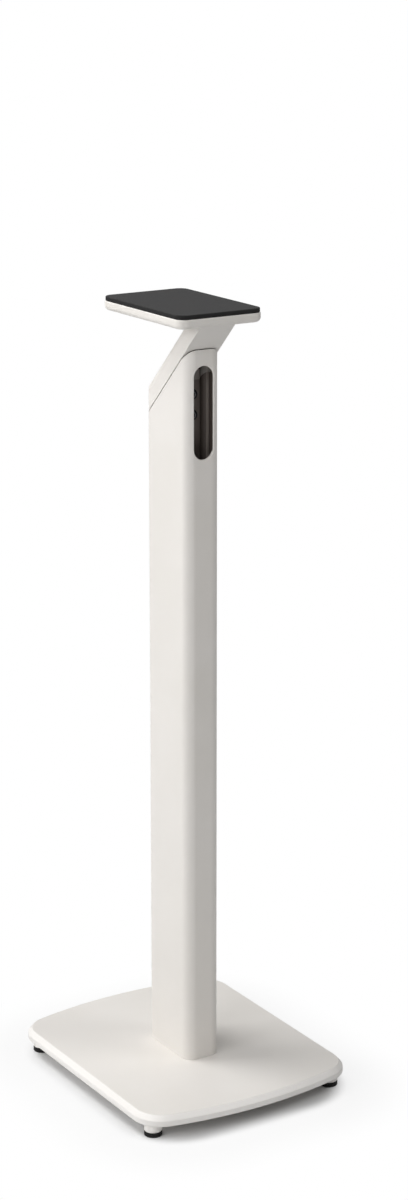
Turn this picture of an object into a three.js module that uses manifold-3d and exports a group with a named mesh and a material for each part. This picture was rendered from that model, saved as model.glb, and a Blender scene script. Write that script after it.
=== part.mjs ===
// Floor stand for a compact bookshelf loudspeaker, in millimetres, +Z up.
// The origin is on the floor under the centre of the base plate. The front is -Y and the rear +Y.

import * as THREE from 'three';
import { mergeVertices } from 'three/addons/utils/BufferGeometryUtils.js';
import Module from 'manifold-3d';

// ---- Driving dimensions ----

// Whole stand
const STAND_HEIGHT = 709;
const THREAD_CLEARANCE = 0.3;
const PAINT_CLEARANCE = 0.3;

// Base plate
const BASE_WIDTH = 215;
const BASE_DEPTH = 259;
const BASE_BOW = 15.6;
const BASE_CORNER_R = 28.5;
const BASE_THICKNESS = 9.8;
const BASE_CHAMFER_RUN = 3.8;
const BASE_CHAMFER_RISE = 4.4;
const BASE_LOWER_CHAMFER = 0.7;
const CABLE_OPENING_MARGIN = 1.2;

// Levelling feet
const FOOT_DIAMETER = 16;
const FOOT_INSET_X = 15;
const FOOT_INSET_Y = 29.2;
const FOOT_BODY_HEIGHT = 8.8;
const FOOT_EDGE = 0.6;
const FOOT_PAD_HEIGHT = 4.5;
const FOOT_GROOVE_DEPTH = 0.6;
const FOOT_GROOVE_HEIGHT = 0.9;
const FOOT_UNDER_BASE_GAP = 0.2;
const STUD_DIAMETER = 8;
const STUD_THREAD_LENGTH = 7.6;
const STUD_IN_PAD = 2.2;
const STUD_TIP_CHAMFER = 0.8;
const STUD_HOLE_SPARE = 0.9;

// Column extrusion
const COLUMN_WIDTH = 35.2;
const COLUMN_DEPTH = 69.4;
const COLUMN_CENTRE_Y = 1.1;
const COLUMN_CORNER_R = 9.8;
const COLUMN_WALL = 2.6;
const WEB_THICKNESS = 3;
const CHANNEL_DEPTH = 18.1;
const PORT_WALL = 1.7;
const CUT_ANGLE = THREE.MathUtils.degToRad(45);

// Cable slot in the rear wall
const SLOT_WIDTH = 19.2;
const SLOT_LENGTH = 81.5;
const SLOT_BELOW_TOP = 14.4;
const SLOT_RIM = 0.8;

// Column bolts, low-head M5
const COLUMN_BOLT_DIAMETER = 5;
const COLUMN_BOLT_LENGTH = 20;
const COLUMN_BOLT_HEAD_DIAMETER = 8.5;
const COLUMN_BOLT_HEAD_HEIGHT = 3.5;
const COLUMN_BOLT_HEX = 3;
const COLUMN_BOLT_HEX_DEPTH = 1.6;
const COLUMN_BOLT_RECESS = 0.6;

// Neck casting
const NECK_THICKNESS = 20.9;
const NECK_BEND_R = 8;
const NECK_RISE = 23.9;
const SEAM_GAP = 0.9;
const SPIGOT_LENGTH = 90;
const SPIGOT_CLEARANCE = 0.4;
const SPIGOT_LEAD_IN = 2;

// Neck bolts, M6 button heads
const NECK_BOLT_DIAMETER = 6;
const NECK_BOLT_LENGTH = 20;
const NECK_BOLT_HEAD_DIAMETER = 10.5;
const NECK_BOLT_HEAD_HEIGHT = 3.3;
const NECK_BOLT_HEX = 4;
const NECK_BOLT_HEX_DEPTH = 2;
const NECK_BOLT_SPACING = 18;
const NECK_BOLT_BELOW_TOP = 42;
const TAPPED_HOLE_SPARE = 1;

// Top plate and its screws, countersunk M5
const PLATE_WIDTH = 84;
const PLATE_DEPTH = 131;
const PLATE_THICKNESS = 8.3;
const PLATE_CORNER_R = 9.2;
const PLATE_FILLET = 4.2;
const PLATE_TOP_CHAMFER = 0.5;
const PLATE_SCREW_DIAMETER = 5;
const PLATE_SCREW_LENGTH = 14;
const PLATE_SCREW_HEAD_DIAMETER = 9.4;
const PLATE_SCREW_HEX = 3;
const PLATE_SCREW_HEX_DEPTH = 1.6;
const PLATE_SCREW_SINK = 0.2;
const PLATE_SCREW_SPACING_X = 18;
const PLATE_SCREW_SPACING_Y = 10.6;
const PLATE_SCREW_EDGE = 5.4;

// Rubber pad on the top plate
const TOP_PAD_THICKNESS = 4;
const TOP_PAD_INSET = 0.6;
const TOP_PAD_EDGE = 0.5;

// Facets
const CORNER_STEPS = 10;
const BOW_STEPS = 16;
const FILLET_STEPS = 6;
const TURNED_STEPS = 28;
const HOLE_STEPS = 24;
const BEND_STEPS = 5;

// ---- Levels and faces that several pieces share ----

const BASE_BOTTOM = FOOT_PAD_HEIGHT + FOOT_BODY_HEIGHT + FOOT_UNDER_BASE_GAP;
const BASE_TOP = BASE_BOTTOM + BASE_THICKNESS;
const PLATE_TOP = STAND_HEIGHT - TOP_PAD_THICKNESS;
const PLATE_BOTTOM = PLATE_TOP - PLATE_THICKNESS;
const COLUMN_TOP = PLATE_BOTTOM - NECK_RISE;

const COLUMN_FRONT = COLUMN_CENTRE_Y - COLUMN_DEPTH / 2;
const COLUMN_REAR = COLUMN_CENTRE_Y + COLUMN_DEPTH / 2;
const CAVITY_HALF_WIDTH = COLUMN_WIDTH / 2 - COLUMN_WALL;
const CAVITY_CORNER_R = COLUMN_CORNER_R - COLUMN_WALL;
const CAVITY_FRONT = COLUMN_FRONT + COLUMN_WALL;
const CHANNEL_REAR = COLUMN_REAR - COLUMN_WALL;
const WEB_REAR = CHANNEL_REAR - CHANNEL_DEPTH;
const WEB_FRONT = WEB_REAR - WEB_THICKNESS;

const PORT_HOLE_R = COLUMN_BOLT_DIAMETER / 2 + THREAD_CLEARANCE;
const PORT_OUTER_R = PORT_HOLE_R + PORT_WALL;
const FRONT_PORT_INSET = CAVITY_CORNER_R - (CAVITY_CORNER_R - PORT_HOLE_R) * Math.SQRT1_2;
const COUNTERBORE_R = COLUMN_BOLT_HEAD_DIAMETER / 2 + THREAD_CLEARANCE;

const SLOT_TOP = COLUMN_TOP - SLOT_BELOW_TOP;
const SLOT_BOTTOM = SLOT_TOP - SLOT_LENGTH;

// Corners of the rectangles that feet, bolts and screws stand on
const LEFT_RIGHT = [['left', -1], ['right', 1]];
const FRONT_REAR = [['front', -1], ['rear', 1]];

/** Height of the column's slanted top at depth y. */
function cutHeight(y) {
  return COLUMN_TOP + (y - COLUMN_REAR) * Math.tan(CUT_ANGLE);
}

/** Depth y at which the neck's face, so far above the slanted top, reaches the top plate. */
function neckFaceAtPlate(distance) {
  return COLUMN_REAR + (NECK_RISE - distance / Math.cos(CUT_ANGLE)) / Math.tan(CUT_ANGLE);
}

// ---- Outlines ----

/** Points along an arc, with both ends. */
function arc(x, y, radius, start, end, steps) {
  return Array.from({ length: steps + 1 }, (_, i) => {
    const angle = start + ((end - start) * i) / steps;
    return new THREE.Vector2(x + radius * Math.cos(angle), y + radius * Math.sin(angle));
  });
}

/** One closed outline from stretches that follow each other, without repeated points. */
function joined(...stretches) {
  const points = stretches.flat();
  return points.filter((point, i) => point.distanceTo(points.at(i - 1)) > 1e-5);
}

/** Rounded rectangle between two corners. */
function roundedRect(x0, y0, x1, y1, radius, steps = CORNER_STEPS) {
  const quarter = Math.PI / 2;
  return joined(
    arc(x1 - radius, y1 - radius, radius, 0, quarter, steps),
    arc(x0 + radius, y1 - radius, radius, quarter, 2 * quarter, steps),
    arc(x0 + radius, y0 + radius, radius, 2 * quarter, 3 * quarter, steps),
    arc(x1 - radius, y0 + radius, radius, 3 * quarter, 4 * quarter, steps),
  );
}

/** Rounded rectangle about the origin, moved in by inset all round. */
function centredRect(width, depth, radius, inset = 0) {
  const x = width / 2 - inset;
  const y = depth / 2 - inset;
  return roundedRect(-x, -y, x, y, radius - inset);
}

/** The base's outline: straight sides, bowed front and rear, round corners, moved in by inset. */
function baseOutline(inset) {
  const halfWidth = BASE_WIDTH / 2;
  const bowR = (halfWidth ** 2 + BASE_BOW ** 2) / (2 * BASE_BOW);
  const bowY = BASE_DEPTH / 2 - bowR;
  const cornerX = halfWidth - BASE_CORNER_R;
  const cornerY = bowY + Math.sqrt((bowR - BASE_CORNER_R) ** 2 - cornerX ** 2);
  const cornerR = BASE_CORNER_R - inset;
  const turn = Math.atan2(cornerY - bowY, cornerX);
  const rear = joined(
    arc(cornerX, cornerY, cornerR, 0, turn, CORNER_STEPS),
    arc(0, bowY, bowR - inset, turn, Math.PI - turn, BOW_STEPS),
    arc(-cornerX, cornerY, cornerR, Math.PI - turn, Math.PI, CORNER_STEPS),
  );
  const front = rear.map((point) => new THREE.Vector2(-point.x, -point.y));
  return joined(rear, front);
}

/** Upright stadium, as wide as width and as long as length, about the origin, grown by extra. */
function stadium(width, length, extra = 0) {
  const x = width / 2 + extra;
  const y = length / 2 + extra;
  return roundedRect(-x, -y, x, y, x - 1e-3);
}

// ---- Solids ----

/** Straight prism on an outline. */
function prism(points, bottom, top) {
  const geometry = new THREE.ExtrudeGeometry(new THREE.Shape(points), {
    depth: top - bottom,
    bevelEnabled: false,
  });
  return geometry.translate(0, 0, bottom);
}

/** Closed skin over outlines stacked along Z, each with as many points as the others. */
function stacked(levels) {
  const count = levels[0].points.length;
  const positions = levels.flatMap(({ points, z }) => points.flatMap((point) => [point.x, point.y, z]));
  const index = [];
  for (let level = 0; level < levels.length - 1; level += 1) {
    for (let i = 0; i < count; i += 1) {
      const a = level * count + i;
      const b = level * count + ((i + 1) % count);
      index.push(a, b, b + count, a, b + count, a + count);
    }
  }
  const last = (levels.length - 1) * count;
  for (const [a, b, c] of THREE.ShapeUtils.triangulateShape(levels[0].points, [])) {
    index.push(a, c, b);
  }
  for (const [a, b, c] of THREE.ShapeUtils.triangulateShape(levels.at(-1).points, [])) {
    index.push(last + a, last + b, last + c);
  }
  const geometry = new THREE.BufferGeometry();
  geometry.setAttribute('position', new THREE.Float32BufferAttribute(positions, 3));
  geometry.setIndex(index);
  geometry.computeVertexNormals();
  return geometry;
}

/** Turned solid about Z from its profile as [radius, height] pairs, from axis to axis. */
function turned(profile, steps = TURNED_STEPS) {
  const points = profile.map(([radius, height]) => new THREE.Vector2(radius, height));
  return new THREE.LatheGeometry(points, steps).rotateX(Math.PI / 2);
}

/** Round bar or hole about a vertical line. */
function roundBar(radius, bottom, top, steps = HOLE_STEPS) {
  return turned([[0, bottom], [radius, bottom], [radius, top], [0, top]], steps);
}

/** Six-sided socket, so wide across its flats. */
function hexSocket(acrossFlats, bottom, top) {
  return roundBar(acrossFlats / Math.sqrt(3), bottom, top, 6);
}

/** Side view in Y and Z, made as wide as the given width about X = 0. */
function sideProfile(yz, width) {
  const points = yz.map(([y, z]) => new THREE.Vector2(y, z));
  const geometry = new THREE.ExtrudeGeometry(new THREE.Shape(points), { depth: width, bevelEnabled: false });
  const axes = new THREE.Matrix4().makeBasis(
    new THREE.Vector3(0, 1, 0),
    new THREE.Vector3(0, 0, 1),
    new THREE.Vector3(1, 0, 0),
  );
  return geometry.translate(0, 0, -width / 2).applyMatrix4(axes);
}

const wasm = await Module();
wasm.setup();

/** The solid that a closed geometry bounds. */
function solid(geometry) {
  const bare = geometry.clone();
  bare.deleteAttribute('normal');
  bare.deleteAttribute('uv');
  const merged = mergeVertices(bare, 1e-4);
  const triVerts = [];
  for (let i = 0; i < merged.index.count; i += 3) {
    const corners = [0, 1, 2].map((k) => merged.index.getX(i + k));
    if (new Set(corners).size === 3) triVerts.push(...corners);
  }
  const vertProperties = Float32Array.from(merged.attributes.position.array);
  return new wasm.Manifold(new wasm.Mesh({ numProp: 3, vertProperties, triVerts: Uint32Array.from(triVerts) }));
}

/** The geometry of a solid's skin. */
function skin(body) {
  const { vertProperties, triVerts } = body.getMesh();
  const geometry = new THREE.BufferGeometry();
  geometry.setAttribute('position', new THREE.BufferAttribute(vertProperties, 3));
  geometry.setIndex(new THREE.BufferAttribute(triVerts, 1));
  geometry.computeVertexNormals();
  return geometry;
}

/** A geometry with other geometries cut out of it. */
function cut(geometry, tools) {
  return skin(tools.reduce((body, tool) => body.subtract(solid(tool)), solid(geometry)));
}

/** A named piece in its own material. */
function piece(name, geometry, { color, roughness, metalness }) {
  const mesh = new THREE.Mesh(geometry, new THREE.MeshStandardMaterial({ color, roughness, metalness }));
  mesh.name = name;
  return mesh;
}

// ---- Finishes ----

const SATIN_WHITE = { color: 0xe4dfd8, roughness: 0.45, metalness: 0 };
const BLACK_RUBBER = { color: 0x18181a, roughness: 0.85, metalness: 0 };
const ZINC_STEEL = { color: 0xa9adb2, roughness: 0.35, metalness: 1 };
const BLACK_STEEL = { color: 0x1c1c1e, roughness: 0.5, metalness: 0.8 };

// ---- Places of fasteners and feet ----

/** Centres of the four bolts that hold the column, with their names' endings. */
function columnBoltPlaces() {
  return LEFT_RIGHT.flatMap(([side, signX]) => [
    {
      ending: `front_${side}`,
      x: signX * (CAVITY_HALF_WIDTH - FRONT_PORT_INSET),
      y: CAVITY_FRONT + FRONT_PORT_INSET,
    },
    {
      ending: `rear_${side}`,
      x: signX * (CAVITY_HALF_WIDTH - PORT_HOLE_R),
      y: WEB_REAR + PORT_HOLE_R,
    },
  ]);
}

/** Centres of the four feet, with their names' endings. */
function footPlaces() {
  return FRONT_REAR.flatMap(([end, signY]) => LEFT_RIGHT.map(([side, signX]) => ({
    ending: `${end}_${side}`,
    x: signX * (BASE_WIDTH / 2 - FOOT_INSET_X),
    y: signY * (BASE_DEPTH / 2 - FOOT_INSET_Y),
  })));
}

/** Centres of the four top plate screws, with their names' endings. */
function plateScrewPlaces() {
  const firstRow = neckFaceAtPlate(NECK_THICKNESS) + PLATE_SCREW_EDGE;
  return FRONT_REAR.flatMap(([end], row) => LEFT_RIGHT.map(([side, signX]) => ({
    ending: `${end}_${side}`,
    x: (signX * PLATE_SCREW_SPACING_X) / 2,
    y: firstRow + row * PLATE_SCREW_SPACING_Y,
  })));
}

/** Heights of the two neck bolts, with their names' endings. */
function neckBoltPlaces() {
  const upper = COLUMN_TOP - NECK_BOLT_BELOW_TOP;
  return [
    { ending: 'upper', z: upper },
    { ending: 'lower', z: upper - NECK_BOLT_SPACING },
  ];
}

// ---- Base ----

function basePlate() {
  const plate = stacked([
    { points: baseOutline(BASE_LOWER_CHAMFER), z: BASE_BOTTOM },
    { points: baseOutline(0), z: BASE_BOTTOM + BASE_LOWER_CHAMFER },
    { points: baseOutline(0), z: BASE_TOP - BASE_CHAMFER_RISE },
    { points: baseOutline(BASE_CHAMFER_RUN), z: BASE_TOP },
  ]);
  const studHoles = footPlaces().map(({ x, y }) => {
    const radius = STUD_DIAMETER / 2 + THREAD_CLEARANCE;
    const depth = STUD_THREAD_LENGTH + STUD_HOLE_SPARE;
    return roundBar(radius, BASE_BOTTOM - 1, BASE_BOTTOM + depth).translate(x, y, 0);
  });
  const seat = BASE_BOTTOM + COLUMN_BOLT_RECESS + COLUMN_BOLT_HEAD_HEIGHT;
  const boltHoles = columnBoltPlaces().map(({ x, y }) => turned([
    [0, BASE_BOTTOM - 1],
    [COUNTERBORE_R, BASE_BOTTOM - 1],
    [COUNTERBORE_R, seat],
    [PORT_HOLE_R, seat],
    [PORT_HOLE_R, BASE_TOP + 1],
    [0, BASE_TOP + 1],
  ], HOLE_STEPS).translate(x, y, 0));
  const { width, length, y } = cableOpening();
  const opening = prism(stadium(width, length), BASE_BOTTOM - 1, BASE_TOP + 1).translate(0, y, 0);
  return piece('base_plate', cut(plate, [...studHoles, ...boltHoles, opening]), SATIN_WHITE);
}

/** The base's opening for the lead, between the rear column bolts and inside the channel. */
function cableOpening() {
  const boltX = CAVITY_HALF_WIDTH - PORT_HOLE_R;
  return {
    width: 2 * (boltX - COUNTERBORE_R - CABLE_OPENING_MARGIN),
    length: CHANNEL_DEPTH - 2 * PAINT_CLEARANCE,
    y: (WEB_REAR + CHANNEL_REAR) / 2,
  };
}

// ---- Levelling feet ----

function footBody(ending) {
  const radius = FOOT_DIAMETER / 2;
  const bottom = FOOT_PAD_HEIGHT;
  const top = bottom + FOOT_BODY_HEIGHT;
  const shape = turned([
    [0, bottom],
    [radius - FOOT_EDGE, bottom],
    [radius, bottom + FOOT_EDGE],
    [radius, top - FOOT_EDGE],
    [radius - FOOT_EDGE, top],
    [0, top],
  ]);
  const studHole = roundBar(STUD_DIAMETER / 2 + THREAD_CLEARANCE, bottom - 1, top + 1);
  return piece(`foot_body_${ending}`, cut(shape, [studHole]), SATIN_WHITE);
}

function footStud(ending) {
  const radius = STUD_DIAMETER / 2;
  const bottom = FOOT_PAD_HEIGHT - STUD_IN_PAD;
  const top = BASE_BOTTOM + STUD_THREAD_LENGTH;
  const shape = turned([
    [0, bottom],
    [radius - STUD_TIP_CHAMFER, bottom],
    [radius, bottom + STUD_TIP_CHAMFER],
    [radius, top - STUD_TIP_CHAMFER],
    [radius - STUD_TIP_CHAMFER, top],
    [0, top],
  ], HOLE_STEPS);
  return piece(`foot_stud_${ending}`, shape, ZINC_STEEL);
}

function footPad(ending) {
  const radius = FOOT_DIAMETER / 2;
  const recess = STUD_DIAMETER / 2 + THREAD_CLEARANCE;
  const recessBottom = FOOT_PAD_HEIGHT - STUD_IN_PAD - THREAD_CLEARANCE;
  const middle = FOOT_PAD_HEIGHT / 2;
  const shape = turned([
    [0, 0],
    [radius - FOOT_EDGE, 0],
    [radius, FOOT_EDGE],
    [radius, middle - FOOT_GROOVE_HEIGHT / 2],
    [radius - FOOT_GROOVE_DEPTH, middle],
    [radius, middle + FOOT_GROOVE_HEIGHT / 2],
    [radius, FOOT_PAD_HEIGHT - FOOT_EDGE],
    [radius - FOOT_EDGE, FOOT_PAD_HEIGHT],
    [recess, FOOT_PAD_HEIGHT],
    [recess, recessBottom],
    [0, recessBottom],
  ]);
  return piece(`foot_pad_${ending}`, shape, BLACK_RUBBER);
}

function levellingFoot({ ending, x, y }) {
  const foot = new THREE.Group();
  foot.add(footPad(ending), footBody(ending), footStud(ending));
  foot.position.set(x, y, 0);
  return foot;
}

// ---- Column ----

/** What lies above the column's slanted top, as a tool that is wider than the column. */
function aboveTheCut() {
  const front = COLUMN_FRONT - COLUMN_WALL;
  const rear = COLUMN_REAR + COLUMN_WALL;
  const over = cutHeight(rear) + COLUMN_WALL;
  const outline = [[front, cutHeight(front)], [rear, cutHeight(rear)], [rear, over], [front, over]];
  return sideProfile(outline, COLUMN_WIDTH + 2 * COLUMN_WALL);
}

/** The slot's cutter, from inside the channel out through the rear wall, with its bevelled rim. */
function slotCutter() {
  const through = stacked([
    { points: stadium(SLOT_WIDTH, SLOT_LENGTH), z: -2 * COLUMN_WALL },
    { points: stadium(SLOT_WIDTH, SLOT_LENGTH), z: -SLOT_RIM },
    { points: stadium(SLOT_WIDTH, SLOT_LENGTH, 2 * SLOT_RIM), z: SLOT_RIM },
  ]);
  const axes = new THREE.Matrix4().makeBasis(
    new THREE.Vector3(-1, 0, 0),
    new THREE.Vector3(0, 0, 1),
    new THREE.Vector3(0, 1, 0),
  );
  return through.applyMatrix4(axes).translate(0, COLUMN_REAR, (SLOT_TOP + SLOT_BOTTOM) / 2);
}

function column() {
  const half = COLUMN_WIDTH / 2;
  const outer = prism(
    roundedRect(-half, COLUMN_FRONT, half, COLUMN_REAR, COLUMN_CORNER_R),
    BASE_TOP,
    COLUMN_TOP + COLUMN_WALL,
  );
  const hollow = prism(
    roundedRect(-CAVITY_HALF_WIDTH, CAVITY_FRONT, CAVITY_HALF_WIDTH, CHANNEL_REAR, CAVITY_CORNER_R),
    BASE_TOP - 1,
    COLUMN_TOP + 2 * COLUMN_WALL,
  );
  const webOutline = [[-half, WEB_FRONT], [half, WEB_FRONT], [half, WEB_REAR], [-half, WEB_REAR]];
  const web = prism(webOutline.map(([x, y]) => new THREE.Vector2(x, y)), BASE_TOP, COLUMN_TOP + COLUMN_WALL);
  const envelope = solid(outer);
  let body = envelope.subtract(solid(hollow)).add(solid(web).intersect(envelope));
  for (const { x, y } of columnBoltPlaces()) {
    const port = roundBar(PORT_OUTER_R, BASE_TOP, COLUMN_TOP + COLUMN_WALL).translate(x, y, 0);
    body = body.add(solid(port).intersect(envelope));
  }
  const boltHoles = columnBoltPlaces().map(({ x, y }) => (
    roundBar(PORT_HOLE_R, BASE_TOP - 1, COLUMN_TOP + 2 * COLUMN_WALL).translate(x, y, 0)
  ));
  const neckBoltHoles = neckBoltPlaces().map(({ z }) => (
    roundBar(NECK_BOLT_DIAMETER / 2 + THREAD_CLEARANCE, -1, WEB_THICKNESS + 1)
      .rotateX(-Math.PI / 2)
      .translate(0, WEB_FRONT, z)
  ));
  const tools = [...boltHoles, ...neckBoltHoles, slotCutter(), aboveTheCut()];
  return piece('column', cut(skin(body), tools), SATIN_WHITE);
}

function columnBolt({ ending, x, y }) {
  const radius = COLUMN_BOLT_DIAMETER / 2;
  const headR = COLUMN_BOLT_HEAD_DIAMETER / 2;
  const edge = 0.4;
  const shape = turned([
    [0, 0],
    [headR - edge, 0],
    [headR, edge],
    [headR, COLUMN_BOLT_HEAD_HEIGHT],
    [radius, COLUMN_BOLT_HEAD_HEIGHT],
    [radius, COLUMN_BOLT_HEAD_HEIGHT + COLUMN_BOLT_LENGTH - edge],
    [radius - edge, COLUMN_BOLT_HEAD_HEIGHT + COLUMN_BOLT_LENGTH],
    [0, COLUMN_BOLT_HEAD_HEIGHT + COLUMN_BOLT_LENGTH],
  ], HOLE_STEPS);
  const socket = hexSocket(COLUMN_BOLT_HEX, -1, COLUMN_BOLT_HEX_DEPTH);
  const bolt = piece(`column_bolt_${ending}`, cut(shape, [socket]), ZINC_STEEL);
  bolt.position.set(x, y, BASE_BOTTOM + COLUMN_BOLT_RECESS);
  return bolt;
}

// ---- Neck ----

/** The room under one face of the neck: a long bar with its two upper edges rounded. */
function neckRoom(angle) {
  const half = COLUMN_WIDTH / 2;
  const reach = COLUMN_DEPTH + NECK_RISE + NECK_THICKNESS;
  const outline = joined(
    arc(half - COLUMN_CORNER_R, -COLUMN_CORNER_R, COLUMN_CORNER_R, 0, Math.PI / 2, CORNER_STEPS),
    arc(COLUMN_CORNER_R - half, -COLUMN_CORNER_R, COLUMN_CORNER_R, Math.PI / 2, Math.PI, CORNER_STEPS),
    [new THREE.Vector2(-half, -reach), new THREE.Vector2(half, -reach)],
  );
  const outward = new THREE.Vector3(0, -Math.cos(angle), Math.sin(angle));
  const across = new THREE.Vector3(1, 0, 0);
  const along = new THREE.Vector3().crossVectors(across, outward);
  const bendCentre = neckBendCentre();
  const top = bendCentre.clone().addScaledVector(outward, NECK_BEND_R);
  const place = new THREE.Matrix4().makeBasis(across, outward, along).setPosition(top);
  return prism(outline, -2 * reach, 2 * reach).applyMatrix4(place);
}

/** Centre of the bend between the neck's upright front face and its leaning upper face. */
function neckBendCentre() {
  const upperFace = (NECK_THICKNESS - NECK_BEND_R) / Math.cos(CUT_ANGLE);
  const y = COLUMN_FRONT + NECK_BEND_R;
  return new THREE.Vector3(0, y, cutHeight(y) + upperFace);
}

function neck() {
  const seam = SEAM_GAP / Math.cos(CUT_ANGLE);
  const under = (y) => cutHeight(y) + seam;
  const heel = neckFaceAtPlate(SEAM_GAP);
  const leaning = [[COLUMN_FRONT, under(COLUMN_FRONT)], [heel, PLATE_BOTTOM], [COLUMN_FRONT, PLATE_BOTTOM]];
  let body = solid(sideProfile(leaning, COLUMN_WIDTH));
  for (let step = 0; step <= BEND_STEPS; step += 1) {
    body = body.intersect(solid(neckRoom((CUT_ANGLE * step) / BEND_STEPS)));
  }

  const rear = WEB_FRONT - SPIGOT_CLEARANCE;
  const front = CAVITY_FRONT + FRONT_PORT_INSET + PORT_OUTER_R + SPIGOT_CLEARANCE;
  const bottom = COLUMN_TOP - SPIGOT_LENGTH;
  const root = NECK_THICKNESS / 2;
  const spigot = sideProfile([
    [front + SPIGOT_LEAD_IN, bottom],
    [rear - SPIGOT_LEAD_IN, bottom],
    [rear, bottom + SPIGOT_LEAD_IN],
    [rear, under(rear) + root],
    [front, under(front) + root],
    [front, bottom + SPIGOT_LEAD_IN],
  ], 2 * (CAVITY_HALF_WIDTH - SPIGOT_CLEARANCE));
  body = body.add(solid(spigot));

  const boltDepth = NECK_BOLT_LENGTH + TAPPED_HOLE_SPARE;
  const boltHoles = neckBoltPlaces().map(({ z }) => (
    roundBar(NECK_BOLT_DIAMETER / 2 + THREAD_CLEARANCE, 0, boltDepth)
      .rotateX(Math.PI / 2)
      .translate(0, WEB_REAR, z)
  ));
  const screwBottom = PLATE_TOP - PLATE_SCREW_SINK - PLATE_SCREW_LENGTH - TAPPED_HOLE_SPARE;
  const screwHoles = plateScrewPlaces().map(({ x, y }) => (
    roundBar(PLATE_SCREW_DIAMETER / 2 + THREAD_CLEARANCE, screwBottom, PLATE_BOTTOM + 1).translate(x, y, 0)
  ));
  return piece('neck', cut(skin(body), [...boltHoles, ...screwHoles]), SATIN_WHITE);
}

function neckBolt({ ending, z }) {
  const radius = NECK_BOLT_DIAMETER / 2;
  const headR = NECK_BOLT_HEAD_DIAMETER / 2;
  const height = NECK_BOLT_HEAD_HEIGHT;
  const crownR = NECK_BOLT_HEX * 0.8;
  const edge = 0.5;
  const dome = [0, 1, 2, 3, 4].map((step) => {
    const angle = (step / 4) * (Math.PI / 2);
    return [crownR + (headR - crownR) * Math.cos(angle), edge + (height - edge) * Math.sin(angle)];
  });
  const shape = turned([
    [0, -NECK_BOLT_LENGTH],
    [radius - edge, -NECK_BOLT_LENGTH],
    [radius, edge - NECK_BOLT_LENGTH],
    [radius, 0],
    [headR, 0],
    ...dome,
    [0, height],
  ], HOLE_STEPS);
  const socket = hexSocket(NECK_BOLT_HEX, height - NECK_BOLT_HEX_DEPTH, height + 1);
  const bolt = piece(`neck_bolt_${ending}`, cut(shape, [socket]), BLACK_STEEL);
  bolt.rotation.x = -Math.PI / 2;
  bolt.position.set(0, WEB_REAR, z);
  return bolt;
}

// ---- Top plate ----

/** Profile of a countersunk screw, or with some clearance of its hole, down from the head's top. */
function countersunk(length, clearance) {
  const radius = PLATE_SCREW_DIAMETER / 2 + clearance;
  const headR = PLATE_SCREW_HEAD_DIAMETER / 2 + clearance;
  return [[0, -length], [radius, -length], [radius, radius - headR], [headR, 0]];
}

function topPlate() {
  const fillet = Array.from({ length: FILLET_STEPS + 1 }, (_, step) => {
    const angle = (step / FILLET_STEPS) * (Math.PI / 2);
    const inset = PLATE_FILLET * (1 - Math.sin(angle));
    return {
      points: centredRect(PLATE_WIDTH, PLATE_DEPTH, PLATE_CORNER_R, inset),
      z: PLATE_BOTTOM + PLATE_FILLET * (1 - Math.cos(angle)),
    };
  });
  const plate = stacked([
    ...fillet,
    { points: centredRect(PLATE_WIDTH, PLATE_DEPTH, PLATE_CORNER_R), z: PLATE_TOP - PLATE_TOP_CHAMFER },
    {
      points: centredRect(PLATE_WIDTH, PLATE_DEPTH, PLATE_CORNER_R, PLATE_TOP_CHAMFER),
      z: PLATE_TOP,
    },
  ]);
  const holes = plateScrewPlaces().map(({ x, y }) => {
    const headR = PLATE_SCREW_HEAD_DIAMETER / 2 + THREAD_CLEARANCE;
    const profile = [...countersunk(PLATE_SCREW_LENGTH, THREAD_CLEARANCE), [headR, 1], [0, 1]];
    return turned(profile, HOLE_STEPS).translate(x, y, PLATE_TOP - PLATE_SCREW_SINK);
  });
  return piece('top_plate', cut(plate, holes), SATIN_WHITE);
}

function topPlateScrew({ ending, x, y }) {
  const profile = [...countersunk(PLATE_SCREW_LENGTH, 0), [0, 0]];
  const socket = hexSocket(PLATE_SCREW_HEX, -PLATE_SCREW_HEX_DEPTH, 1);
  const screw = piece(`top_plate_screw_${ending}`, cut(turned(profile, HOLE_STEPS), [socket]), ZINC_STEEL);
  screw.position.set(x, y, PLATE_TOP - PLATE_SCREW_SINK);
  return screw;
}

function topPad() {
  const outline = (inset) => centredRect(PLATE_WIDTH, PLATE_DEPTH, PLATE_CORNER_R, TOP_PAD_INSET + inset);
  const shape = stacked([
    { points: outline(TOP_PAD_EDGE), z: PLATE_TOP },
    { points: outline(0), z: PLATE_TOP + TOP_PAD_EDGE },
    { points: outline(0), z: STAND_HEIGHT - TOP_PAD_EDGE },
    { points: outline(TOP_PAD_EDGE), z: STAND_HEIGHT },
  ]);
  return piece('top_pad', shape, BLACK_RUBBER);
}

// ---- The whole stand ----

const stand = new THREE.Group();
stand.add(
  basePlate(),
  ...footPlaces().map(levellingFoot),
  column(),
  ...columnBoltPlaces().map(columnBolt),
  neck(),
  ...neckBoltPlaces().map(neckBolt),
  topPlate(),
  ...plateScrewPlaces().map(topPlateScrew),
  topPad(),
);

export default stand;
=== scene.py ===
"""Looks of the speaker stand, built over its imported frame. Metres, +Z up, front towards -Y."""

import math

import bpy
from mathutils import Matrix, Vector


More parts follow.
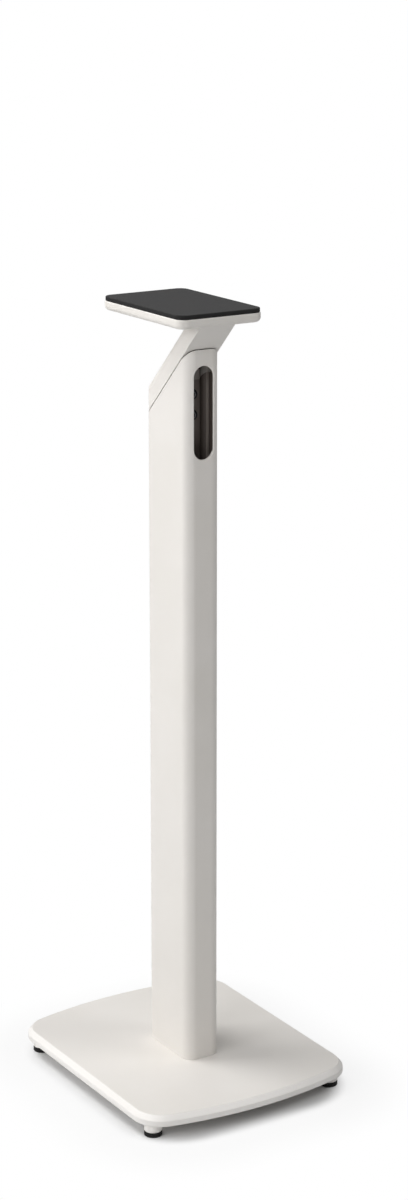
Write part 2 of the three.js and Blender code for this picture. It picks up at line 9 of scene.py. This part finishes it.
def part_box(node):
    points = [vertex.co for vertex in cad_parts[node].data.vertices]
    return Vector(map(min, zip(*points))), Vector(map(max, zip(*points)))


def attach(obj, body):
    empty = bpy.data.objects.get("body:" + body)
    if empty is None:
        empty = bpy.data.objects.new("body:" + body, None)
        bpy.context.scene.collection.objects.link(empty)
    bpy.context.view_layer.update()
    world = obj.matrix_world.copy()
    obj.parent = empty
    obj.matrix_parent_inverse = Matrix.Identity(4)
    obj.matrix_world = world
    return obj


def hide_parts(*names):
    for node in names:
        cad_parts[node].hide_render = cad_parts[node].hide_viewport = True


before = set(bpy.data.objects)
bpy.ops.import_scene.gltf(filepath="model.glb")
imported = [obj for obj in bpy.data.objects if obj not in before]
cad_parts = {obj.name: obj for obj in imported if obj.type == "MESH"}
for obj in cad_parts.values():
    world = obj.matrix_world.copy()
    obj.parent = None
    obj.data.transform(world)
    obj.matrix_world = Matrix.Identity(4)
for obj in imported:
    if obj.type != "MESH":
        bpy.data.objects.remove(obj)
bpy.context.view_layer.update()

MM = 0.001
ENDS = ("front_left", "front_right", "rear_left", "rear_right")

# ---- Camera ----

# Solved from the photograph's edges. Rows and focal length are in its pixels, the sensor in millimetres.
PHOTO_HEIGHT = 1200
CAMERA_PLACE = Vector((1.1778, 1.9169, 1.0726))
CAMERA_TARGET = Vector((-0.0224, 0.0, 0.5140))
FOCAL_PIXELS = 2659.6
AXIS_ROW = 519.7
SENSOR = 36


def place_camera():
    """The photograph's camera: its long side is the frame's height."""
    camera = bpy.data.objects.new("camera", bpy.data.cameras.new("camera"))
    bpy.context.scene.collection.objects.link(camera)
    camera.location = CAMERA_PLACE
    camera.rotation_euler = (CAMERA_TARGET - CAMERA_PLACE).to_track_quat("-Z", "Y").to_euler()
    camera.data.sensor_width = SENSOR
    camera.data.lens = FOCAL_PIXELS / PHOTO_HEIGHT * SENSOR
    camera.data.shift_y = (AXIS_ROW - PHOTO_HEIGHT / 2) / PHOTO_HEIGHT
    bpy.context.scene.camera = camera


place_camera()

# ---- Nodes of a finish ----

# A Mix node has sockets for each kind of value. These are a colour's.
MIX_FIRST, MIX_SECOND, MIX_RESULT = 6, 7, 2

# Pointiness is 0.5 on a flat and more on an outer edge.
WORN_EDGE = (0.505, 0.56)


class Value:
    """A socket in a finish. Arithmetic on values adds Math nodes."""

    def __init__(self, finish, socket):
        self.finish = finish
        self.socket = socket

    def __add__(self, other):
        return self.finish.math("ADD", self, other)

    def __radd__(self, other):
        return self.finish.math("ADD", other, self)

    def __sub__(self, other):
        return self.finish.math("SUBTRACT", self, other)

    def __rsub__(self, other):
        return self.finish.math("SUBTRACT", other, self)

    def __mul__(self, other):
        return self.finish.math("MULTIPLY", self, other)

    def __rmul__(self, other):
        return self.finish.math("MULTIPLY", other, self)


class Finish:
    """A material or world whose nodes come from expressions."""

    def __init__(self, owner):
        owner.use_nodes = True
        self.owner = owner
        self.tree = owner.node_tree
        self.tree.nodes.clear()

    def node(self, kind, settings, sockets, out=0):
        """A node with its settings, then its sockets' values or links. Returns one of its outputs."""
        node = self.tree.nodes.new(kind)
        for name, value in settings.items():
            setattr(node, name, value)
        for name, value in sockets.items():
            if isinstance(value, Value):
                self.tree.links.new(value.socket, node.inputs[name])
            else:
                node.inputs[name].default_value = value
        return Value(self, node.outputs[out]) if len(node.outputs) else None

    def math(self, operation, first, second=0.0):
        return self.node("ShaderNodeMath", {"operation": operation}, {0: first, 1: second})

    def larger(self, first, second):
        return self.math("MAXIMUM", first, second)

    def place(self):
        """The point's place on the stand, in metres."""
        return self.node("ShaderNodeTexCoord", {}, {}, "Object")

    def along(self, axis):
        """One coordinate of the point's place: X, Y or Z."""
        return self.node("ShaderNodeSeparateXYZ", {}, {0: self.place()}, axis)

    def facing(self, axis):
        """How far the surface faces along X, Y or Z: from -1 to 1."""
        normal = self.node("ShaderNodeNewGeometry", {}, {}, "Normal")
        return self.node("ShaderNodeSeparateXYZ", {}, {0: normal}, axis)

    def outside(self, box, corner):
        """How far the point lies outside an upright box with round corners. Below 0 inside it."""
        centre, half = (box[0] + box[1]) / 2, (box[1] - box[0]) / 2
        sides = (("X", centre.x, half.x - corner), ("Y", centre.y, half.y - corner))
        past = [self.math("ABSOLUTE", self.along(axis) - at) - reach for axis, at, reach in sides]
        inward = self.math("MINIMUM", self.larger(past[0], past[1]), 0.0)
        outward = [self.larger(part, 0.0) for part in past]
        return self.math("SQRT", outward[0] * outward[0] + outward[1] * outward[1]) + inward - corner

    def noise(self, scale, detail=2.0, stretch=(1, 1, 1)):
        """Noise whose features are about 1 / scale metres, drawn out where stretch is below 1."""
        place = self.node("ShaderNodeVectorMath", {"operation": "MULTIPLY"}, {0: self.place(), 1: stretch})
        sockets = {"Vector": place, "Scale": scale, "Detail": detail, "Roughness": 0.55}
        return self.node("ShaderNodeTexNoise", {}, sockets, "Fac")

    def ramp(self, value, low, high, start=0.0, end=1.0):
        """Value taken from low..high to start..end, smoothly and without going past either."""
        sockets = {"Value": value, "From Min": low, "From Max": high, "To Min": start, "To Max": end}
        return self.node("ShaderNodeMapRange", {"interpolation_type": "SMOOTHSTEP"}, sockets)

    def edges(self):
        """1 on worn outer edges, 0 on flats and in hollows."""
        pointiness = self.node("ShaderNodeNewGeometry", {}, {}, "Pointiness")
        return self.ramp(pointiness, *WORN_EDGE)

    def mixed(self, mask, first, second):
        """From the first colour, where mask is 0, to the second."""
        sockets = {0: mask, MIX_FIRST: first, MIX_SECOND: second}
        return self.node("ShaderNodeMix", {"data_type": "RGBA"}, sockets, MIX_RESULT)

    def bump(self, height, distance, under=None):
        """Relief of so many metres, over the relief under it."""
        sockets = {"Height": height, "Distance": distance, "Strength": 1.0}
        if under is not None:
            sockets["Normal"] = under
        return self.node("ShaderNodeBump", {}, sockets)

    def surface(self, **sockets):
        """The finished material, from a Principled shader's sockets, with _ for each space."""
        named = {name.replace("_", " "): value for name, value in sockets.items()}
        shader = self.node("ShaderNodeBsdfPrincipled", {}, named)
        self.node("ShaderNodeOutputMaterial", {}, {"Surface": shader})
        return self.owner


def colour(red, green, blue):
    """A colour as it is written on screen, from 0 to 255, as linear light."""

    def linear(part):
        part /= 255
        return part / 12.92 if part <= 0.04045 else ((part + 0.055) / 1.055) ** 2.4

    return (linear(red), linear(green), linear(blue), 1.0)


def new_finish(name):
    return Finish(bpy.data.materials.new(name))


# ---- Where the powder coat ends, and where shade and highlights are painted ----

COLUMN_CORNER = 9.8 * MM
COLUMN_CUT = math.radians(45)
COATED_SKIN = 1.1 * MM
POWDER_REACH = 6.4 * MM
BARE_UNDER_DUST = 0.62
SEAM_GAP = 0.9 * MM

# A surface faces an axis from 0, square to it, to 1, straight along it.
SILL_HIGHLIGHT = (0.2, 0.5)
LIES_LEVEL = (0.72, 0.95)
FACES_SLOT = (0.9, 0.98)


def below_cut(finish):
    """How far the point lies below the column's end, which is cut at 45 degrees."""
    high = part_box("column")[1]
    return (high.z - high.y + finish.along("Y") - finish.along("Z")) * math.cos(COLUMN_CUT)


def within_column(finish):
    """1 further in than the column's coated skin, 0 on the skin and outside it."""
    blur = 0.3 * MM
    outside = finish.outside(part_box("column"), COLUMN_CORNER)
    return finish.ramp(outside, -COATED_SKIN - blur, -COATED_SKIN + blur, 1.0, 0.0)


def column_hollow(finish):
    """Inside the column. Powder dusts it a little way in from the cut. Faces that look up stay white, a
    painted highlight on the slot's sills.
    """
    blur = 0.4 * MM
    bare = finish.ramp(below_cut(finish), POWDER_REACH - blur, POWDER_REACH + blur, BARE_UNDER_DUST, 1.0)
    # Painted highlight: faces inside the column that look up keep the white coat.
    upright = finish.ramp(finish.facing("Z"), *SILL_HIGHLIGHT, 1.0, 0.0)
    return within_column(finish) * bare * upright


def neck_seam_shade(finish):
    """Painted shade in the seam: dark alloy on the neck's shoulder over the column's cut end, and on its
    spigot.
    """
    low = finish.ramp(below_cut(finish), -SEAM_GAP - 0.12 * MM, -SEAM_GAP - 0.04 * MM)
    return within_column(finish) * low


def rim_highlight(finish):
    """1 where the surface leaves the level, as along the base's rim, where a whiter coat is a painted
    highlight.
    """
    return finish.ramp(finish.facing("Z"), *LIES_LEVEL, 1.0, 0.0)


# ---- Finishes ----

WHITE_CLOUD, WHITE = colour(227, 223, 217), colour(230, 226, 221)
# The last of these whites is a painted highlight on the rims of the base and the feet.
WHITE_SPECK, WHITE_EDGE, WHITE_RIM_HIGHLIGHT = colour(214, 209, 202), colour(238, 235, 231), colour(242, 239, 235)
# The third alloy colour is painted light, for the web that faces out of the slot.
ALLOY_DARK, ALLOY_PALE, ALLOY_LIT = colour(80, 71, 66), colour(94, 85, 79), colour(150, 141, 134)
RUBBER_BLACK, RUBBER_PALE, RUBBER_EDGE = colour(20, 20, 21), colour(27, 26, 26), colour(50, 49, 48)
ZINC_DARK, ZINC_PALE = colour(150, 153, 158), colour(176, 178, 180)
BLACKED_DARK, BLACKED_PALE = colour(34, 33, 33), colour(46, 45, 45)
STEEL_EDGE = colour(190, 190, 190)

ALONG_Z = (1, 1, 0.02)
DRAWN_LINES = (1, 1, 0.15)


def bare_alloy(finish):
    """Dull alloy, streaked along Z. The web, which faces straight out of the slot, gets painted light: a
    brighter alloy.
    """
    streaks = finish.noise(500, 3, ALONG_Z)
    alloy = finish.mixed(finish.ramp(streaks, 0.3, 0.7), ALLOY_DARK, ALLOY_PALE)
    return finish.mixed(finish.ramp(finish.facing("Y"), *FACES_SLOT), alloy, ALLOY_LIT)


def satin_white(name, bare=None, paler=None):
    """Satin powder coat: fine orange peel, faint clouds, paler and smoother along the edges.

    bare and paler make masks: bare, where the alloy shows, which is bare metal in the column and painted
    shade in the neck's seam; paler, where a whiter coat is a painted highlight.
    """
    coat = new_finish(name)
    peel = coat.noise(560)
    grain = coat.noise(2300)
    cloud = coat.noise(14, 3)
    edge = coat.edges()
    paint = coat.mixed(coat.ramp(cloud, 0.3, 0.7), WHITE_CLOUD, WHITE)
    paint = coat.mixed(coat.ramp(grain, 0.62, 0.8) * 0.25, paint, WHITE_SPECK)
    paint = coat.mixed(edge * 0.5, paint, WHITE_EDGE)
    gloss = 0.4 + coat.ramp(cloud, 0.25, 0.75) * 0.06 + (peel - 0.5) * 0.08 - edge * 0.05
    # A painted highlight: a whiter coat where the paler mask is 1.
    if paler is not None:
        paint = coat.mixed(paler(coat), paint, WHITE_RIM_HIGHLIGHT)
    # Dark alloy: bare metal inside the column, and painted shade in the neck's seam.
    if bare is not None:
        bare_metal_and_seam_shade = bare(coat)
        paint = coat.mixed(bare_metal_and_seam_shade, paint, bare_alloy(coat))
        gloss = gloss + bare_metal_and_seam_shade * 0.2
    relief = coat.bump(grain, 0.01 * MM, coat.bump(peel, 0.03 * MM))
    return coat.surface(Base_Color=paint, Roughness=gloss, Normal=relief)


def black_rubber():
    """Moulded rubber: matt, finely grained, greyer where it is handled."""
    rubber = new_finish("black_rubber_moulded")
    grain = rubber.noise(1900, 3)
    patches = rubber.noise(60, 3)
    black = rubber.mixed(rubber.ramp(patches, 0.35, 0.7), RUBBER_BLACK, RUBBER_PALE)
    black = rubber.mixed(rubber.edges() * 0.6, black, RUBBER_EDGE)
    gloss = 0.72 + rubber.ramp(grain, 0.3, 0.7) * 0.14 + patches * 0.08
    relief = rubber.bump(grain, 0.04 * MM)
    return rubber.surface(Base_Color=black, Roughness=gloss, Specular_IOR_Level=0.25, Normal=relief)


def plated_steel(name, dark, pale, roughness):
    """Plated or blacked screw steel: drawn lines, cloudy plating, bare metal on the edges."""
    steel = new_finish(name)
    lines = steel.noise(1600, 3, DRAWN_LINES)
    cloud = steel.noise(180, 3)
    edge = steel.edges()
    tint = steel.mixed(steel.ramp(cloud, 0.35, 0.65), dark, pale)
    tint = steel.mixed(edge * 0.45, tint, STEEL_EDGE)
    gloss = roughness + (lines - 0.5) * 0.12 + steel.ramp(cloud, 0.3, 0.7) * 0.08 - edge * 0.06
    relief = steel.bump(lines, 0.01 * MM)
    return steel.surface(Base_Color=tint, Metallic=1.0, Roughness=gloss, Normal=relief)


FINISHES = {
    # The steel coat gets a painted highlight along its rims and the feet's sides.
    "satin_white_steel": satin_white("satin_white_on_steel", paler=rim_highlight),
    "satin_white_aluminium": satin_white("satin_white_on_aluminium"),
    "black_rubber": black_rubber(),
    "zinc_steel": plated_steel("zinc_plated_steel", ZINC_DARK, ZINC_PALE, 0.3),
    "black_steel": plated_steel("blacked_steel", BLACKED_DARK, BLACKED_PALE, 0.42),
}
COLUMN_FINISH = satin_white("satin_white_on_extrusion", bare=column_hollow)
# The neck's seam gets dark alloy as painted shade.
NECK_FINISH = satin_white("satin_white_on_casting", bare=neck_seam_shade)

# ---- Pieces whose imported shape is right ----

CLOSE_POINTS = 0.03 * MM
SAME_FLAT = math.radians(0.3)
ROUNDED_EDGE = math.radians(28)


def ease_edges(piece, width):
    """Rounds a piece's edges by modifiers and keeps its flats flat."""
    weld = piece.modifiers.new("weld", "WELD")
    weld.merge_threshold = CLOSE_POINTS
    flats = piece.modifiers.new("flats", "DECIMATE")
    flats.decimate_type = "DISSOLVE"
    flats.angle_limit = SAME_FLAT
    bevel = piece.modifiers.new("edges", "BEVEL")
    bevel.width = width
    bevel.segments = 3
    bevel.limit_method = "ANGLE"
    bevel.angle_limit = ROUNDED_EDGE
    bevel.use_clamp_overlap = False
    bevel.miter_outer = "MITER_ARC"
    shading = piece.modifiers.new("shading", "WEIGHTED_NORMAL")
    shading.weight = 60
    shading.keep_sharp = False


def finish_node(node, material, edge):
    """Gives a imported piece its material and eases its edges."""
    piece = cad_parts[node]
    for slot in piece.material_slots:
        slot.link = "OBJECT"
        slot.material = material
    ease_edges(piece, edge)


finish_node("base_plate", FINISHES["satin_white_steel"], 0.5 * MM)
finish_node("column", COLUMN_FINISH, 0.3 * MM)
finish_node("neck", NECK_FINISH, 0.3 * MM)
finish_node("top_plate", FINISHES["satin_white_aluminium"], 0.3 * MM)
finish_node("top_pad", FINISHES["black_rubber"], 0.3 * MM)
for end in ENDS:
    finish_node(f"foot_body_{end}", FINISHES["satin_white_steel"], 0.25 * MM)
    finish_node(f"foot_pad_{end}", FINISHES["black_rubber"], 0.2 * MM)

# ---- Screws, with their threads. Sizes in millimetres ----

AROUND = 48
THREAD_SAMPLES = 8
THREAD_DEPTH = 0.61
FLANK_SLOPE = 1.5
ROOT_FLAT = 0.3
DOME_STEPS = 8
SHARP = math.radians(35)

# Radius and pitch of each thread.
M5 = (2.5, 0.8)
M6 = (3, 1)
M8 = (4, 1.25)


def hexagon(across_flats):
    """Radius of a hexagon at each of the points around."""
    flat = across_flats / 2
    sixth = math.radians(60)
    angles = (math.tau * i / AROUND for i in range(AROUND))
    return [flat / math.cos((angle + sixth / 2) % sixth - sixth / 2) for angle in angles]


def ring(radius, z):
    """A ring of points about Z, with one radius or one for each point."""
    radii = radius if isinstance(radius, list) else [radius] * AROUND
    angles = [math.tau * i / AROUND for i in range(AROUND)]
    return [(r * math.cos(a), r * math.sin(a), z) for r, a in zip(radii, angles)]


def turned(*outline):
    """Rings for an outline of radii and heights."""
    return [ring(radius, z) for radius, z in outline]


def thread(size, bottom, top):
    """Rings of a right-hand thread with flat crests and roots, which runs out at both ends."""
    radius, pitch = size
    count = round((top - bottom) / pitch * THREAD_SAMPLES)
    rings = []
    for level in range(count + 1):
        z = bottom + (top - bottom) * level / count
        full = min(1.0, (z - bottom) / pitch, (top - z) / pitch)
        radii = []
        for i in range(AROUND):
            phase = (z / pitch - i / AROUND) % 1
            crest = min(1.0, max(0.0, FLANK_SLOPE * abs(2 * phase - 1) - ROOT_FLAT))
            radii.append(radius - THREAD_DEPTH * pitch * (1 - crest * full))
        rings.append(ring(radii, z))
    return rings


def skin(name, rings, place, body, node, slot):
    """A closed piece over rings of points, put in its place."""
    mesh = bpy.data.meshes.new(name)
    points = [place @ Vector(point) * MM for around in rings for point in around]
    faces = []
    for level in range(len(rings) - 1):
        for i in range(AROUND):
            a = level * AROUND + i
            b = level * AROUND + (i + 1) % AROUND
            faces.append((a, b, b + AROUND, a + AROUND))
    last = (len(rings) - 1) * AROUND
    faces.append(tuple(reversed(range(AROUND))))
    faces.append(tuple(range(last, last + AROUND)))
    mesh.from_pydata(points, [], faces)
    mesh.polygons.foreach_set("use_smooth", [True] * len(faces))
    mesh.set_sharp_from_angle(angle=SHARP)
    mesh.materials.append(FINISHES[slot])
    piece = bpy.data.objects.new(name, mesh)
    bpy.context.scene.collection.objects.link(piece)
    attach(piece, body)
    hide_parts(node)


def upright_in(node):
    """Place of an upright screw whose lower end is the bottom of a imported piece."""
    low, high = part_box(node)
    return Matrix.Translation(Vector(((low.x + high.x) / 2, (low.y + high.y) / 2, low.z)) / MM)


def column_bolt(end):
    """Low-head M5 screw, head down in the base's underside."""
    node = f"column_bolt_{end}"
    head, seat, tip, shank, key = 4.25, 3.5, 23.5, M5[0], hexagon(3)
    rings = turned((0.9, 1.9), (key, 1.6), (key, 0.2), (1.95, 0), (3.85, 0), (4.13, 0.12), (head, 0.4))
    rings += turned((head, seat - 0.2), (head - 0.1, seat), (shank, seat), (shank, 5))
    rings += thread(M5, 5.1, tip - 0.7) + turned((1.7, tip))
    skin(f"column_screw_{end}", rings, upright_in(node), "stand", node, "zinc_steel")


def neck_bolt(end):
    """M6 button-head screw on the column's web, reached through the cable slot."""
    node = f"neck_bolt_{end}"
    head, height, rim, flat, shank, key = 5.25, 3.3, 0.5, 3.2, M6[0], hexagon(4)
    rings = turned((2.1, -20)) + thread(M6, -19.4, -1)
    rings += turned((shank, -0.8), (shank, 0), (head - 0.2, 0), (head, 0.2), (head, rim))
    for step in range(1, DOME_STEPS + 1):
        angle = math.radians(90 * step / DOME_STEPS)
        across, up = (head - flat) * math.cos(angle), (height - rim) * math.sin(angle)
        rings.append(ring(flat + across, rim + up))
    rings += turned((2.55, height), (key, height - 0.2), (key, 1.3), (1.2, 1.0))
    low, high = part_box(node)
    seat = Vector(((low.x + high.x) / 2 / MM, high.y / MM - height, (low.z + high.z) / 2 / MM))
    place = Matrix.Translation(seat) @ Matrix.Rotation(math.radians(-90), 4, "X")
    skin(f"neck_screw_{end}", rings, place, "stand", node, "black_steel")


def plate_screw(end):
    """Countersunk M5 screw under the rubber pad."""
    node = f"top_plate_screw_{end}"
    head, top, shank, key = 4.7, 14, M5[0], hexagon(3)
    rings = turned((1.7, 0)) + thread(M5, 0.5, 11) + turned((shank, 11.3), (shank, 11.8))
    rings += turned((head - 0.15, top - 0.15), (head, top - 0.05), (head - 0.1, top), (1.95, top))
    rings += turned((key, top - 0.2), (key, 12.4), (0.9, 12.1))
    skin(f"plate_screw_{end}", rings, upright_in(node), "stand", node, "zinc_steel")


def foot_stud(end):
    """M8 stud that the foot turns up into the base by."""
    node = f"foot_stud_{end}"
    low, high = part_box(node)
    tip, shank = (high.z - low.z) / MM, M8[0]
    rings = turned((3.2, 0), (shank - 0.1, 0.75), (shank, 0.9), (shank, 8))
    rings += thread(M8, 8.2, tip - 0.7) + turned((2.9, tip))
    skin(f"threaded_stud_{end}", rings, upright_in(node), f"foot_{end}", node, "zinc_steel")


for end in ENDS:
    column_bolt(end)
    plate_screw(end)
    foot_stud(end)
for end in ("upper", "lower"):
    neck_bolt(end)

# ---- Floor, world and lamps ----

FLOOR_REACH = 40

# The shadow gives way to white outside the base's outline: most of it over the edge, the rest over the halo.
SHADOW_CORNER = 55 * MM
SHADOW_EDGE = (-9 * MM, 11 * MM)
SHADOW_HALO = (11 * MM, 80 * MM)
HALO_SHARE = 0.15
FLOOR_LIT, FLOOR_SEEN = 0.8, 0.76

# Strength of the light from all round, where 1 is white.
AMBIENT = 0.08

# Where each lamp stands, the height on the stand's middle that it faces, its width and its watts.
LAMPS = {
    "high_front_right": ((0.9, -0.9, 2.3), 0.2, 1.2, 37),
    "right": ((2.2, 0.3, 1.4), 0.5, 1.0, 17),
    "low_front_right": ((1.8, -1.4, 0.7), 0.5, 1.0, 4),
    "rear_right": ((2.0, 1.6, 1.8), 0.4, 1.2, 17),
    "rear_left": ((-1.2, 1.2, 1.9), 0.3, 0.9, 11),
}


def grey(level):
    return (level, level, level, 1)


def make_floor():
    """A white floor that keeps the shadow under the stand and fades into the white round it."""
    mesh = bpy.data.meshes.new("floor")
    corners = [(x * FLOOR_REACH, y * FLOOR_REACH, 0) for x, y in ((-1, -1), (1, -1), (1, 1), (-1, 1))]
    mesh.from_pydata(corners, [], [(0, 1, 2, 3)])
    floor = bpy.data.objects.new("floor", mesh)
    bpy.context.scene.collection.objects.link(floor)
    card = new_finish("floor_card")
    away = card.outside(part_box("base_plate"), SHADOW_CORNER)
    fade = card.ramp(away, *SHADOW_EDGE) * (1 - HALO_SHARE) + card.ramp(away, *SHADOW_HALO) * HALO_SHARE
    lit = card.node("ShaderNodeBsdfDiffuse", {}, {"Color": grey(FLOOR_LIT)})
    seen = card.node("ShaderNodeBsdfDiffuse", {}, {"Color": grey(FLOOR_SEEN)})
    white = card.node("ShaderNodeEmission", {}, {"Color": grey(1), "Strength": 1.0})
    backdrop = card.node("ShaderNodeMixShader", {}, {0: fade, 1: seen, 2: white})
    by_eye = card.node("ShaderNodeLightPath", {}, {}, "Is Camera Ray")
    shader = card.node("ShaderNodeMixShader", {}, {0: by_eye, 1: lit, 2: backdrop})
    card.node("ShaderNodeOutputMaterial", {}, {"Surface": shader})
    mesh.materials.append(card.owner)


def make_world():
    """Soft light from all round; white to the eye and in reflections."""
    sky = Finish(bpy.data.worlds.new("studio"))
    rays = ("Is Camera Ray", "Is Glossy Ray", "Is Transmission Ray")
    eye, glossy, through = (sky.node("ShaderNodeLightPath", {}, {}, ray) for ray in rays)
    strength = AMBIENT + sky.larger(sky.larger(eye, glossy), through) * (1 - AMBIENT)
    background = sky.node("ShaderNodeBackground", {}, {"Color": grey(1), "Strength": strength})
    sky.node("ShaderNodeOutputWorld", {}, {"Surface": background})
    bpy.context.scene.world = sky.owner


def make_lamps():
    """Soft square lamps, named for the stand's own sides."""
    for name, (place, aim, width, watts) in LAMPS.items():
        lamp = bpy.data.lights.new(name, "AREA")
        lamp.shape = "SQUARE"
        lamp.size = width
        lamp.energy = watts
        holder = bpy.data.objects.new(name, lamp)
        bpy.context.scene.collection.objects.link(holder)
        holder.location = place
        holder.rotation_euler = (Vector((0, 0, aim)) - Vector(place)).to_track_quat("-Z", "Y").to_euler()


make_floor()
make_world()
make_lamps()
bpy.context.scene.view_settings.view_transform = "Standard"
